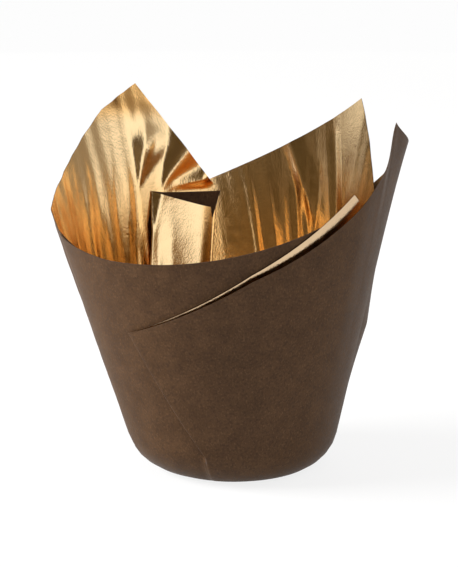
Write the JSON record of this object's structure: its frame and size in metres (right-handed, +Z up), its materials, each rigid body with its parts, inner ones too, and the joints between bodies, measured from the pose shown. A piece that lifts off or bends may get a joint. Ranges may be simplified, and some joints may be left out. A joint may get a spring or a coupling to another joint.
{
  "type": "cupcake liner",
  "caption": "Tulip baking cup folded from a square foil-lined paper sheet, with pleated conical wall and pointed corners.",
  "frame": {"origin": "centre of the lower face of the flat disc the cup stands on", "axes": "+Z up out of the cup, -Y towards the front flap, +X to the right of it"},
  "size_m": [0.0906, 0.0838, 0.0941],
  "materials": {
    "brown_paper": "uncoated, faint sheen",
    "gold_foil": "bright laminated foil"
  },
  "bodies": {
    "root": {"liner": "brown_paper"}
  },
  "joints": []
}
